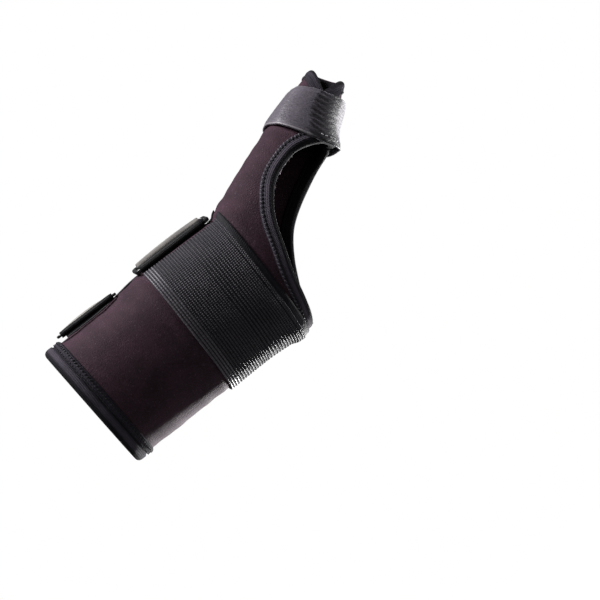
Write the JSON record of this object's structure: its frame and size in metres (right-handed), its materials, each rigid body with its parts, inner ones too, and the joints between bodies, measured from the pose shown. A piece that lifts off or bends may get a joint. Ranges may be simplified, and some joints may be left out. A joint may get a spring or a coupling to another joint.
{
  "type": "thumb spica splint",
  "caption": "Neoprene wrist and thumb support, shaped as worn, with a ribbed elastic wrist strap, ring-closed forearm strap and a strap round the thumb.",
  "frame": {"origin": "centre of the wrist, on the axis of the forearm part of the sleeve", "axes": "+X from the forearm towards the fingers, +Z towards the thumb side, +Y from the back of the hand towards the palm"},
  "size_m": [0.2173, 0.0842, 0.1121],
  "materials": {
    "neoprene": "matte knit over foam rubber",
    "binding_tape": "matte folded tape with lighter stitches",
    "ribbed_elastic": "matte ribbed weave",
    "ring_plastic": "semi-gloss",
    "webbing": "matte woven tape",
    "laminate": "smooth brushed fabric over foam"
  },
  "bodies": {
    "root": {"sleeve_body": "neoprene", "cuff_binding": "binding_tape", "hand_binding": "binding_tape", "thumb_binding": "binding_tape", "closure_binding": "binding_tape", "wrist_strap": "ribbed_elastic", "wrist_ring": "ring_plastic", "wrist_anchor": "webbing", "wrist_tab": "laminate", "forearm_strap": "laminate", "forearm_ring": "ring_plastic", "forearm_anchor": "webbing", "thumb_strap": "laminate"}
  },
  "joints": []
}
